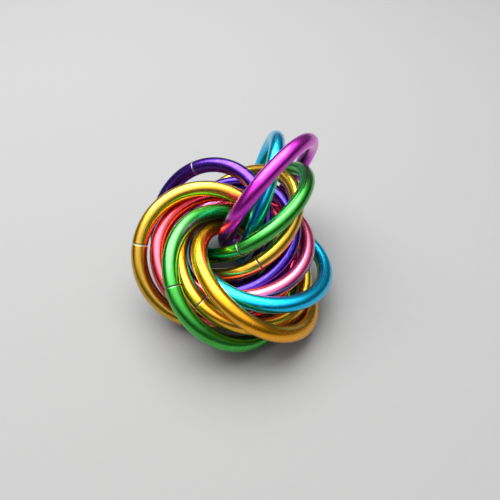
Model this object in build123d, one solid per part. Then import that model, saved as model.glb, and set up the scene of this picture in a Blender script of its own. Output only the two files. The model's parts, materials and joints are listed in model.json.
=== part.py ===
"""Linked-ring fidget rosette.

Thirteen identical round-wire rings. Every ring passes once through every other ring, always with the
same twist, so the set rolls and flows in the hand but never comes apart. It lies here as a loose
rosette with three of its rings folded up.

The origin is under the middle of the heap, on the surface that it lies on. +Z is up.
"""
import math
import os

import numpy as np
from build123d import *

# Driving dimensions, in millimetres
WIRE = 2.0  # diameter of the drawn wire
RING_INSIDE = 15.2  # inside diameter of a closed ring
SEAM_GAP = 0.06  # saw cut left where the two ends of a ring meet
END_BREAK = 0.10  # width of the broken edge round each cut end
CLEARANCE = 0.14  # least gap wanted between two rings once the heap has settled

RING_RADIUS = (RING_INSIDE + WIRE) / 2  # from a ring's centre to the middle of its wire

# How the heap settles: points tried round each ring, rounds of pushing, and the share of each
# overlap that one round takes out
SAMPLES = 72
ROUNDS = 600
PUSH = 0.02

# The layout of the heap, one row for each ring, in the order in which they fan round the middle.
# centre: where the ring lies, in millimetres, before the heap settles
# lean: tilt of the ring's plane from level, in degrees
# high_side: compass direction of its highest point, in degrees anticlockwise from +X
# seam: where the cut is, in degrees round the ring from that highest point
LAYOUT = {
    "ring_01_gold": dict(centre=(-3.5, -3.0, 7.0), lean=44, high_side=104, seam=72),
    "ring_02_red": dict(centre=(-1.0, -3.0, 7.5), lean=23, high_side=111, seam=250),
    "ring_03_green": dict(centre=(0.0, -6.0, 6.5), lean=39, high_side=150, seam=56),
    "ring_04_yellow": dict(centre=(1.5, -4.5, 6.5), lean=24, high_side=159, seam=74),
    "ring_05_orange": dict(centre=(3.0, -5.5, 6.0), lean=35, high_side=189, seam=200),
    "ring_06_turquoise": dict(centre=(3.5, -3.0, 6.5), lean=14, high_side=216, seam=260),
    "ring_07_pink": dict(centre=(1.0, -1.0, 7.0), lean=4, high_side=38, seam=10),
    "ring_08_indigo": dict(centre=(-0.5, 0.5, 7.0), lean=21, high_side=43, seam=150),
    "ring_09_gold": dict(centre=(0.5, 2.5, 8.0), lean=29, high_side=13, seam=277),
    "ring_10_green": dict(centre=(2.5, 3.5, 9.0), lean=37, high_side=339, seam=284),
    "ring_11_magenta": dict(centre=(4.5, 4.0, 11.5), lean=69, high_side=324, seam=190),
    "ring_12_turquoise": dict(centre=(3.0, 6.0, 9.0), lean=73, high_side=353, seam=170),
    "ring_13_purple": dict(centre=(-3.5, 1.5, 7.5), lean=48, high_side=54, seam=40),
}


def face_direction(lean, high_side):
    """Unit vector square to a ring's plane, on its upper side."""
    tilt = math.radians(lean)
    bearing = math.radians(high_side)
    return np.array([
        -math.cos(bearing) * math.sin(tilt),
        -math.sin(bearing) * math.sin(tilt),
        math.cos(tilt),
    ])


def uphill_direction(normal):
    """Unit vector in a ring's plane from its centre to its highest point."""
    uphill = np.array([0.0, 0.0, 1.0]) - normal[2] * normal
    return uphill / np.linalg.norm(uphill)


def ring_points(centres, normals):
    """Points along the middle of every ring's wire, as an array of ring, point and coordinate."""
    turns = np.linspace(0, 2 * math.pi, SAMPLES, endpoint=False)
    loops = []
    for centre, normal in zip(centres, normals):
        uphill = uphill_direction(normal)
        across = np.cross(normal, uphill)
        spokes = np.outer(np.cos(turns), uphill) + np.outer(np.sin(turns), across)
        loops.append(centre + RING_RADIUS * spokes)
    return np.array(loops)


def settle(centres, normals):
    """Push the rings apart, a little at a time, until every pair keeps the clearance."""
    wanted = WIRE + CLEARANCE
    itself = np.eye(len(centres), dtype=bool)
    for _ in range(ROUNDS):
        # from each ring's points to the nearest place on each ring's wire line
        points = ring_points(centres, normals)
        offsets = points[:, None] - centres[None, :, None]
        heights = np.einsum("ijkc,jc->ijk", offsets, normals)[..., None]
        radial = offsets - heights * normals[None, :, None]
        nearest = RING_RADIUS * radial / np.linalg.norm(radial, axis=-1, keepdims=True)
        apart = offsets - nearest
        distance = np.linalg.norm(apart, axis=-1, keepdims=True)
        distance[itself] = wanted
        # each overlap pushes its two rings equally, and turns them about their centres
        push = PUSH * np.clip(wanted - distance, 0, None) * apart / distance
        arms = (points - centres[:, None])[:, None]
        moves = push.sum(axis=(1, 2)) - push.sum(axis=(0, 2))
        turns = np.cross(arms, push).sum(axis=(1, 2)) - np.cross(nearest, push).sum(axis=(0, 2))
        centres = centres + moves
        normals = normals + np.cross(turns / RING_RADIUS**2, normals)
        normals = normals / np.linalg.norm(normals, axis=1, keepdims=True)
    return centres, normals


def half_sizes(normals):
    """Half of each ring's extent along X, Y and Z."""
    return RING_RADIUS * np.sqrt(1 - normals**2) + WIRE / 2


def heap():
    """Settled centre and normal of every ring, with the heap standing centrally on the origin."""
    start = np.array([row["centre"] for row in LAYOUT.values()])
    facing = np.array([face_direction(row["lean"], row["high_side"]) for row in LAYOUT.values()])
    centres, normals = settle(start, facing)
    low = (centres - half_sizes(normals)).min(axis=0)
    high = (centres + half_sizes(normals)).max(axis=0)
    centres = centres - np.array([(low[0] + high[0]) / 2, (low[1] + high[1]) / 2, low[2]])
    return dict(zip(LAYOUT, zip(centres, normals)))


def closed_ring():
    """One ring in its own plane, its cut centred on +X, with the edges of the cut ends broken."""
    gap_angle = math.degrees(SEAM_GAP / RING_RADIUS)
    section = Plane.XZ * Pos(RING_RADIUS, 0) * Circle(WIRE / 2)
    wire = revolve(section, Axis.Z, 360 - gap_angle)
    end_edges = wire.faces().filter_by(GeomType.PLANE).edges()
    return Rot(0, 0, gap_angle / 2) * chamfer(end_edges, END_BREAK)


def place(ring, centre, normal, seam):
    """Put a ring into the heap with its cut at the given angle from its highest point."""
    uphill = uphill_direction(normal)
    across = np.cross(normal, uphill)
    turn = math.radians(seam)
    cut = math.cos(turn) * uphill + math.sin(turn) * across
    return Plane(origin=tuple(centre), x_dir=tuple(cut), z_dir=tuple(normal)) * ring


def main():
    """Write one STEP file for each ring."""
    os.makedirs("parts", exist_ok=True)
    ring = closed_ring()
    for name, (centre, normal) in heap().items():
        export_step(place(ring, centre, normal, LAYOUT[name]["seam"]), f"parts/{name}.step")


main()
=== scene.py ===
"""Looks for the linked-ring rosette, laid out as a Blender add-on and run as a script.

Each ring is modelled as the real one is made: drawn aluminium wire bent round, its two sawn ends
brought together and their edges broken, then dyed and sealed in one bright colour. One ring is
modelled flat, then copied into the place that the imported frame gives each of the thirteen.
"""
import json
import math

import bmesh
import bpy
import numpy as np
from bpy.props import FloatProperty, FloatVectorProperty, IntProperty, PointerProperty
from mathutils import Matrix, Vector


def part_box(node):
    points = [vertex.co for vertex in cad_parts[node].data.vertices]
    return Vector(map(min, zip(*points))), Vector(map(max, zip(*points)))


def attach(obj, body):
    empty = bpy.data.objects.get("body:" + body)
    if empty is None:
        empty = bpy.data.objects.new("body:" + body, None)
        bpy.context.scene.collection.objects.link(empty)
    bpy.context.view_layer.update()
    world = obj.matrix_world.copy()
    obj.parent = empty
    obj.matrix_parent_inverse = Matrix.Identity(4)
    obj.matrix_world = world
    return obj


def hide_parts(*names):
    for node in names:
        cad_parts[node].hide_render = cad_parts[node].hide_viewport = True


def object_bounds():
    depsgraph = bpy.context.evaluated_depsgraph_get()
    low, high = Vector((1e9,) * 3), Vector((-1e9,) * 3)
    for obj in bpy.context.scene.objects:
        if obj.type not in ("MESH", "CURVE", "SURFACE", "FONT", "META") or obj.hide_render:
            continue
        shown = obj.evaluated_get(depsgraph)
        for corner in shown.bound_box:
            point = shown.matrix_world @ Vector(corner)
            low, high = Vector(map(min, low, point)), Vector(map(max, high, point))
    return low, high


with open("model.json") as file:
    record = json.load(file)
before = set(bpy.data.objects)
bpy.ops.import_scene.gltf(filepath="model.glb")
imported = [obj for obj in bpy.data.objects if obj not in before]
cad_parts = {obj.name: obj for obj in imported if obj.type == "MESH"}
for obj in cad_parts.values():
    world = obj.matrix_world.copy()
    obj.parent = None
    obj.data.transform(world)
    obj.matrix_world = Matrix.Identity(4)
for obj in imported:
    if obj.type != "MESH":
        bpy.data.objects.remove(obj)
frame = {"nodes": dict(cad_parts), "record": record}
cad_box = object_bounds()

bl_info = {
    "name": "Linked-ring rosette",
    "version": (1, 0, 0),
    "blender": (4, 5, 0),
    "location": "3D View > Sidebar > Rosette",
    "description": "Models the dyed aluminium rings of a linked-ring rosette round its packed frame",
    "category": "Object",
}

BLANK = "ring_blank"  # the flat ring that every other is copied from
DRAWN = "drawn_wire"  # attribute: millimetres along the wire, then across it both ways
MM = 0.001

SLOT_OF = {part["node"]: part["material_slot"] for part in frame["record"]["subparts"]}

# Soft lights: edge length, distance from the heap, and bearing and height as the viewer sees them
WINDOW = {"size": 280 * MM, "distance": 240 * MM, "azimuth": 215, "elevation": 72}
FILL = {"size": 120 * MM, "distance": 220 * MM, "azimuth": -50, "elevation": 35}

FLOOR_RADIUS = 1.2  # metres
FLOOR_THICKNESS = 2 * MM
FLOOR_RIM = 0.5 * MM  # softened edge of the card
CAMERA_SENSOR = 36.0  # width in millimetres

# The room: the heights, as the sine of the angle above level, between which dark walls turn into
# the bright ceiling, and the two shades
WALL_TOP = 0.50
CEILING_EDGE = 0.82
WALL_SHADE = (0.08, 0.08, 0.084, 1.0)
CEILING_SHADE = (1.75, 1.77, 1.80, 1.0)

BARE_METAL = (0.26, 0.26, 0.24, 1.0)  # sawn aluminium

SMOOTH_BELOW = math.radians(40)  # sharper edges than this stay crisp
FLAT_END = 0.95  # how square to the wire a face has to be to count as a cut end

# Dye baths, as linear red, green and blue
DYES = {
    "anodised_gold": (0.70, 0.40, 0.03),
    "anodised_red": (0.62, 0.03, 0.05),
    "anodised_green": (0.05, 0.46, 0.05),
    "anodised_yellow": (0.95, 0.46, 0.02),
    "anodised_orange": (0.98, 0.42, 0.005),
    "anodised_turquoise": (0.0, 0.60, 1.0),
    "anodised_pink": (0.88, 0.14, 0.30),
    "anodised_indigo": (0.030, 0.006, 0.25),
    "anodised_magenta": (0.72, 0.03, 0.66),
    "anodised_purple": (0.065, 0.010, 0.28),
}


# Sizes and colours that a user would change

def dye_property(slot):
    """Property for the colour of one dye bath."""
    name = slot.removeprefix("anodised_")
    return FloatVectorProperty(
        name=name.capitalize(),
        description=f"Dye colour of the {name} rings",
        subtype="COLOR",
        size=3,
        min=0.0,
        max=1.0,
        default=DYES[slot],
    )


class RosetteDyes(bpy.types.PropertyGroup):
    """One dye colour for each material slot of the record."""

    __annotations__ = {slot: dye_property(slot) for slot in DYES}


class RosetteRing(bpy.types.PropertyGroup):
    """Sizes of one ring, and how finely it is meshed."""

    wire: FloatProperty(
        name="Wire",
        description="Diameter of the drawn wire",
        unit="LENGTH",
        default=2.0 * MM,
    )
    inside: FloatProperty(
        name="Inside",
        description="Inside diameter of a closed ring",
        unit="LENGTH",
        default=15.2 * MM,
    )
    saw_cut: FloatProperty(
        name="Saw cut",
        description="Gap left between the two ends",
        unit="LENGTH",
        default=0.06 * MM,
    )
    end_break: FloatProperty(
        name="End break",
        description="Width of the broken edge at each end",
        unit="LENGTH",
        default=0.10 * MM,
    )
    steps_along: IntProperty(
        name="Steps along",
        description="Mesh steps once round the ring",
        default=240,
    )
    steps_round: IntProperty(
        name="Steps round",
        description="Mesh steps once round the wire",
        default=48,
    )


class RosetteStage(bpy.types.PropertyGroup):
    """Floor, lights and camera."""

    floor_colour: FloatVectorProperty(
        name="Floor",
        description="Colour of the floor",
        subtype="COLOR",
        size=3,
        default=(0.18, 0.18, 0.178),
    )
    window_power: FloatProperty(
        name="Window light",
        description="Power of the large soft light overhead, behind and to the left",
        unit="POWER",
        default=2.2,
    )
    fill_power: FloatProperty(
        name="Fill light",
        description="Power of the weak light from the front left",
        unit="POWER",
        default=0.02,
    )
    camera_elevation: FloatProperty(
        name="Camera elevation",
        description="How steeply the camera looks down",
        subtype="ANGLE",
        default=math.radians(46.4),
    )
    camera_distance: FloatProperty(
        name="Camera distance",
        description="From the camera to the point that it looks at",
        unit="LENGTH",
        default=66.8 * MM,
    )
    camera_aim: FloatVectorProperty(
        name="Camera aim",
        description="The point looked at, from the middle of the heap's base",
        subtype="XYZ",
        unit="LENGTH",
        size=3,
        default=(2.1 * MM, -0.1 * MM, 5.0 * MM),
    )
    lens: FloatProperty(
        name="Lens",
        description="Focal length in millimetres",
        default=35.1,
    )


# Finishes

def link_input(tree, node, name, value):
    """Feed an input from another node's output, or set it to a plain value."""
    if isinstance(value, bpy.types.NodeSocket):
        tree.links.new(value, node.inputs[name])
    else:
        node.inputs[name].default_value = value


def node_output(tree, kind, output, settings=None, **inputs):
    """Add a shader node, set it up, and return one of its outputs."""
    node = tree.nodes.new(kind)
    for name, value in (settings or {}).items():
        setattr(node, name, value)
    for name, value in inputs.items():
        link_input(tree, node, name.replace("_", " "), value)
    return node.outputs[output]


def wire_noise(tree, along, across, detail):
    """Noise drawn out along the wire, from its scale per millimetre along the wire and across it."""
    place = node_output(
        tree, "ShaderNodeAttribute", "Vector", {"attribute_name": DRAWN})
    stretched = node_output(
        tree, "ShaderNodeMapping", "Vector", Vector=place, Scale=(along, across, across))
    return node_output(
        tree, "ShaderNodeTexNoise", "Fac", Vector=stretched, Scale=1.0, Detail=detail, Roughness=0.6)


def ranged(tree, value, low, high, to_low, to_high):
    """Map a pattern from low..high to another range, held at both ends."""
    return node_output(
        tree, "ShaderNodeMapRange", "Result",
        Value=value, From_Min=low, From_Max=high, To_Min=to_low, To_Max=to_high)


def arithmetic(tree, operation, first, second):
    """Combine two patterns or numbers."""
    node = tree.nodes.new("ShaderNodeMath")
    node.operation = operation
    link_input(tree, node, 0, first)
    link_input(tree, node, 1, second)
    return node.outputs["Value"]


def mixed_colour(tree, amount, first, second):
    """Blend from the first colour to the second by a pattern."""
    node = tree.nodes.new("ShaderNodeMix")
    node.data_type = "RGBA"
    # the colour inputs are the seventh and eighth, after those for numbers and vectors
    link_input(tree, node, 0, amount)
    link_input(tree, node, 6, first)
    link_input(tree, node, 7, second)
    return node.outputs[2]


def new_material(name, **constants):
    """A material whose main shader has these constant settings."""
    material = bpy.data.materials.new(name)
    material.use_nodes = True
    shader = material.node_tree.nodes["Principled BSDF"]
    for setting, value in constants.items():
        shader.inputs[setting.replace("_", " ")].default_value = value
    return material, material.node_tree, shader


def anodised(slot, colour):
    """Dyed and sealed aluminium: cloudy dye, fine drawing lines and rub marks where rings roll."""
    material, tree, shader = new_material(
        slot,
        Metallic=1.0,
        Coat_Weight=0.3,
        Coat_Roughness=0.16,
        Coat_IOR=1.6,
    )
    drawing_lines = wire_noise(tree, along=0.15, across=9.0, detail=4.0)
    dye_clouds = wire_noise(tree, along=0.25, across=0.5, detail=2.0)
    rubs = wire_noise(tree, along=1.6, across=3.2, detail=5.0)
    scratches = wire_noise(tree, along=7.0, across=1.1, detail=3.0)

    deep = (*(0.62 * part for part in colour), 1.0)
    pale = (*(0.5 * part + 0.42 for part in colour), 1.0)
    cloud = ranged(tree, dye_clouds, 0.35, 0.65, 0.0, 0.55)
    dyed = mixed_colour(tree, cloud, (*colour, 1.0), deep)
    worn = ranged(tree, rubs, 0.60, 0.75, 0.0, 0.22)
    scratched = ranged(tree, scratches, 0.67, 0.72, 0.0, 0.25)
    wear = arithmetic(tree, "MAXIMUM", worn, scratched)
    tree.links.new(mixed_colour(tree, wear, dyed, pale), shader.inputs["Base Color"])

    lined = ranged(tree, drawing_lines, 0.3, 0.7, 0.21, 0.32)
    rough = arithmetic(tree, "ADD", lined, arithmetic(tree, "MULTIPLY", wear, 0.5))
    tree.links.new(rough, shader.inputs["Roughness"])

    relief = arithmetic(tree, "SUBTRACT", drawing_lines, wear)
    bump = node_output(
        tree, "ShaderNodeBump", "Normal", Strength=0.25, Distance=0.004 * MM, Height=relief)
    tree.links.new(bump, shader.inputs["Normal"])
    return material


def cut_end(slot, colour):
    """Sawn aluminium on the ring ends, with fine saw marks and a little dye that has crept over."""
    material, tree, shader = new_material(f"{slot}_cut", Metallic=1.0)
    saw_marks = wire_noise(tree, along=2.0, across=14.0, detail=3.0)
    dyed_over = ranged(tree, saw_marks, 0.35, 0.65, 0.0, 0.6)
    shown = mixed_colour(tree, dyed_over, BARE_METAL, (*colour, 1.0))
    tree.links.new(shown, shader.inputs["Base Color"])
    tree.links.new(ranged(tree, saw_marks, 0.3, 0.7, 0.38, 0.52), shader.inputs["Roughness"])
    bump = node_output(
        tree, "ShaderNodeBump", "Normal", Strength=0.4, Distance=0.006 * MM, Height=saw_marks)
    tree.links.new(bump, shader.inputs["Normal"])
    return material


def floor_card(colour):
    """Matt card with a faint grain."""
    material, tree, shader = new_material("floor_card", Roughness=0.85)
    place = node_output(tree, "ShaderNodeTexCoord", "Object")
    grain = node_output(
        tree, "ShaderNodeTexNoise", "Fac", Vector=place, Scale=900.0, Detail=3.0)
    shade = (*(0.96 * part for part in colour), 1.0)
    tree.links.new(mixed_colour(tree, grain, (*colour, 1.0), shade), shader.inputs["Base Color"])
    bump = node_output(
        tree, "ShaderNodeBump", "Normal", Strength=0.1, Distance=0.05 * MM, Height=grain)
    tree.links.new(bump, shader.inputs["Normal"])
    return material


# The flat ring

def select_faces(mesh, wanted):
    """In edit mode, select just those faces whose middle passes a test."""
    bpy.ops.mesh.select_mode(type="FACE")
    shape = bmesh.from_edit_mesh(mesh)
    for face in shape.faces:
        face.select_set(wanted(face.calc_center_median()))
    bmesh.update_edit_mesh(mesh)


def select_edges(mesh, wanted):
    """In edit mode, select just those edges that pass a test."""
    bpy.ops.mesh.select_mode(type="EDGE")
    shape = bmesh.from_edit_mesh(mesh)
    for edge in shape.edges:
        edge.select_set(wanted(edge))
    bmesh.update_edit_mesh(mesh)


def saw_through(mesh, gap, reach):
    """Cut the ring square across on +X, on both sides of the gap, and take out what lies between."""
    for side in (-1, 1):
        select_faces(mesh, lambda middle: middle.x > 0 and abs(middle.y) < reach)
        bpy.ops.mesh.bisect(
            plane_co=(0.0, side * gap / 2, 0.0),
            plane_no=(0.0, 1.0, 0.0),
            use_fill=False,
            threshold=gap / 100,
        )
    select_faces(mesh, lambda middle: middle.x > 0 and abs(middle.y) < gap / 2)
    bpy.ops.mesh.delete(type="FACE")


def close_ends(mesh):
    """Fill both open ends with a flat face."""
    for side in (-1, 1):
        select_edges(
            mesh,
            lambda edge: edge.is_boundary and side * sum(vertex.co.y for vertex in edge.verts) > 0)
        bpy.ops.mesh.edge_face_add()


def break_edges(mesh, width):
    """Round the rim of both end faces, the only faces with more than four sides."""
    select_edges(mesh, lambda edge: any(len(face.verts) > 4 for face in edge.link_faces))
    bpy.ops.mesh.bevel(
        affect="EDGES", offset_type="OFFSET", offset=width, segments=3, profile=0.5)


def finish_ends(mesh, reach):
    """Give the cut faces and their broken edges the second material, bare aluminium."""
    for face in mesh.polygons:
        face.material_index = int(face.center.x > 0 and abs(face.center.y) < reach)


def mark_drawn_wire(mesh, radius):
    """Store each point's distance along the wire from the cut, and its place across the wire."""
    points = np.array([vertex.co for vertex in mesh.vertices])
    turns = np.arctan2(points[:, 1], points[:, 0]) % (2 * math.pi)
    outward = np.hypot(points[:, 0], points[:, 1]) - radius
    places = np.column_stack([turns * radius, outward, points[:, 2]]) / MM
    layer = mesh.attributes.new(DRAWN, "FLOAT_VECTOR", "POINT")
    layer.data.foreach_set("vector", places.ravel())


class ROSETTE_OT_blank_ring(bpy.types.Operator):
    """Model one ring lying flat, with its saw cut on +X"""

    bl_idname = "rosette.blank_ring"
    bl_label = "Blank ring"

    def execute(self, context):
        sizes = context.scene.rosette_ring
        radius = (sizes.inside + sizes.wire) / 2
        step = 2 * math.pi * radius / sizes.steps_along
        bpy.ops.object.select_all(action="DESELECT")
        bpy.ops.mesh.primitive_torus_add(
            location=(0.0, 0.0, 0.0),
            major_segments=sizes.steps_along,
            minor_segments=sizes.steps_round,
            major_radius=radius,
            minor_radius=sizes.wire / 2,
            generate_uvs=True,
        )
        blank = context.object
        blank.name = BLANK
        bpy.ops.object.mode_set(mode="EDIT")
        saw_through(blank.data, sizes.saw_cut, step)
        close_ends(blank.data)
        break_edges(blank.data, sizes.end_break)
        bpy.ops.mesh.select_all(action="SELECT")
        bpy.ops.mesh.normals_make_consistent(inside=False)
        bpy.ops.object.mode_set(mode="OBJECT")
        bpy.ops.object.shade_smooth_by_angle(angle=SMOOTH_BELOW)
        finish_ends(blank.data, sizes.saw_cut / 2 + sizes.end_break)
        mark_drawn_wire(blank.data, radius)
        return {"FINISHED"}


# The heap of rings

def ring_place(node):
    """Matrix that takes the flat ring, cut on +X, to where the frame has the named ring."""
    low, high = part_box(node)
    centre = (low + high) / 2
    mesh = frame["nodes"][node].data
    spokes = np.array([vertex.co - centre for vertex in mesh.vertices])
    spread = np.linalg.eigh(spokes.T @ spokes)
    normal = Vector(spread.eigenvectors[:, 0])  # the direction in which the ring is thinnest
    if normal.z < 0:
        normal.negate()
    cut = Vector()
    for face in mesh.polygons:
        spoke = face.center - centre
        if abs(face.normal.dot(normal.cross(spoke).normalized())) > FLAT_END:
            cut += face.area * spoke
    if cut.length == 0:
        raise RuntimeError(f"{node} has no cut ends")
    cut = (cut - cut.dot(normal) * normal).normalized()
    turned = Matrix((cut, normal.cross(cut), normal)).transposed()
    return Matrix.Translation(centre) @ turned.to_4x4()


def move_along_coil(mesh, length):
    """Take the ring's drawing lines from further along the coil, so that no two rings match."""
    layer = mesh.attributes[DRAWN].data
    places = np.empty(3 * len(layer))
    layer.foreach_get("vector", places)
    places[0::3] += length
    layer.foreach_set("vector", places)


class ROSETTE_OT_lay_rings(bpy.types.Operator):
    """Copy the blank ring into every ring's place and give each its dye"""

    bl_idname = "rosette.lay_rings"
    bl_label = "Lay the rings"

    def execute(self, context):
        blank = bpy.data.objects.get(BLANK)
        if blank is None:
            raise RuntimeError("make the blank ring first")
        sizes = context.scene.rosette_ring
        coil_step = math.pi * (sizes.inside + sizes.wire) / MM
        dyes = context.scene.rosette_dyes
        finishes = {}
        for slot in DYES:
            colour = tuple(getattr(dyes, slot))
            finishes[slot] = anodised(slot, colour), cut_end(slot, colour)
        for number, (node, slot) in enumerate(SLOT_OF.items()):
            bpy.ops.object.select_all(action="DESELECT")
            blank.select_set(True)
            context.view_layer.objects.active = blank
            bpy.ops.object.duplicate(linked=False)
            ring = context.object
            ring.name = f"{node}_wire"
            ring.matrix_world = ring_place(node)
            bpy.ops.object.transform_apply(location=True, rotation=True, scale=True)
            for material in finishes[slot]:
                ring.data.materials.append(material)
            move_along_coil(ring.data, number * coil_step)
            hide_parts(node)
            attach(ring, node)
        bpy.data.objects.remove(blank)
        return {"FINISHED"}


# The stage

def look_at(thing, target):
    """Turn a light or the camera towards a point."""
    thing.rotation_euler = (target - thing.location).to_track_quat("-Z", "Y").to_euler()


def from_bearing(centre, azimuth, elevation, distance):
    """A point seen from the centre at that bearing, where azimuth 0 is the viewer's side."""
    turn, rise = math.radians(azimuth), math.radians(elevation)
    out = Vector((math.sin(turn) * math.cos(rise), -math.cos(turn) * math.cos(rise), math.sin(rise)))
    return centre + distance * out


def soft_light(name, power, centre, size, distance, azimuth, elevation):
    """A square area light aimed at the heap."""
    bpy.ops.object.light_add(type="AREA", location=from_bearing(centre, azimuth, elevation, distance))
    light = bpy.context.object
    light.name = name
    light.data.energy = power
    light.data.size = size
    look_at(light, centre)


def lay_floor(colour):
    """A round sheet of pale card with a softened rim, its top at the height the heap stands on."""
    bpy.ops.object.select_all(action="DESELECT")
    bpy.ops.mesh.primitive_circle_add(
        vertices=128, radius=FLOOR_RADIUS, fill_type="NGON", location=(0, 0, 0))
    floor = bpy.context.object
    floor.name = "floor_card"
    bpy.ops.object.mode_set(mode="EDIT")
    bpy.ops.mesh.extrude_region_move(TRANSFORM_OT_translate={"value": (0, 0, -FLOOR_THICKNESS)})
    select_edges(floor.data, lambda edge: all(abs(vertex.co.z) < MM / 10 for vertex in edge.verts))
    bpy.ops.mesh.bevel(affect="EDGES", offset=FLOOR_RIM, segments=3)
    bpy.ops.mesh.select_all(action="SELECT")
    bpy.ops.mesh.normals_make_consistent(inside=False)
    bpy.ops.object.mode_set(mode="OBJECT")
    floor.data.materials.append(floor_card(colour))


def dim_room():
    """A soft room: bright overhead, falling to dark walls."""
    world = bpy.data.worlds.new("room")
    world.use_nodes = True
    tree = world.node_tree
    direction = node_output(tree, "ShaderNodeTexCoord", "Generated")
    height = tree.nodes.new("ShaderNodeSeparateXYZ")
    tree.links.new(direction, height.inputs["Vector"])
    rise = ranged(tree, height.outputs["Z"], WALL_TOP, CEILING_EDGE, 0.0, 1.0)
    shade = mixed_colour(tree, rise, WALL_SHADE, CEILING_SHADE)
    background = tree.nodes["Background"]
    tree.links.new(shade, background.inputs["Color"])
    return world


class ROSETTE_OT_stage(bpy.types.Operator):
    """Lay the floor, hang the lights and set the camera"""

    bl_idname = "rosette.stage"
    bl_label = "Stage"

    def execute(self, context):
        stage = context.scene.rosette_stage
        low, high = cad_box
        base = Vector(((low.x + high.x) / 2, (low.y + high.y) / 2, low.z))
        middle = (low + high) / 2
        lay_floor(tuple(stage.floor_colour))
        soft_light("window_light", stage.window_power, middle, **WINDOW)
        soft_light("fill_light", stage.fill_power, middle, **FILL)
        context.scene.world = dim_room()
        context.scene.view_settings.view_transform = "Standard"

        aim = base + Vector(stage.camera_aim)
        elevation = math.degrees(stage.camera_elevation)
        place = from_bearing(aim, 0, elevation, stage.camera_distance)
        bpy.ops.object.camera_add(location=place)
        camera = context.object
        camera.name = "camera"
        camera.data.lens = stage.lens
        camera.data.sensor_width = CAMERA_SENSOR
        camera.data.clip_start = MM
        camera.data.dof.use_dof = False
        look_at(camera, aim)
        context.scene.camera = camera
        return {"FINISHED"}


class ROSETTE_PT_sidebar(bpy.types.Panel):
    """Buttons and settings for the rosette"""

    bl_label = "Linked-ring rosette"
    bl_idname = "ROSETTE_PT_sidebar"
    bl_space_type = "VIEW_3D"
    bl_region_type = "UI"
    bl_category = "Rosette"

    def draw(self, context):
        for step in STEPS:
            self.layout.operator(step.bl_idname)
        for name in SETTINGS:
            group = getattr(context.scene, name)
            box = self.layout.box()
            for setting in group.__annotations__:
                box.prop(group, setting)


STEPS = (ROSETTE_OT_blank_ring, ROSETTE_OT_lay_rings, ROSETTE_OT_stage)
SETTINGS = {"rosette_ring": RosetteRing, "rosette_dyes": RosetteDyes, "rosette_stage": RosetteStage}


def register():
    """Register every class and hang the settings on the scene."""
    for group in (*SETTINGS.values(), *STEPS, ROSETTE_PT_sidebar):
        bpy.utils.register_class(group)
    for name, group in SETTINGS.items():
        setattr(bpy.types.Scene, name, PointerProperty(type=group))


def unregister():
    """Undo register."""
    for name in SETTINGS:
        delattr(bpy.types.Scene, name)
    for group in (*SETTINGS.values(), *STEPS, ROSETTE_PT_sidebar):
        bpy.utils.unregister_class(group)


def main():
    """Build everything in order."""
    register()
    bpy.ops.rosette.blank_ring()
    bpy.ops.rosette.lay_rings()
    bpy.ops.rosette.stage()


if __name__ == "__main__":
    main()
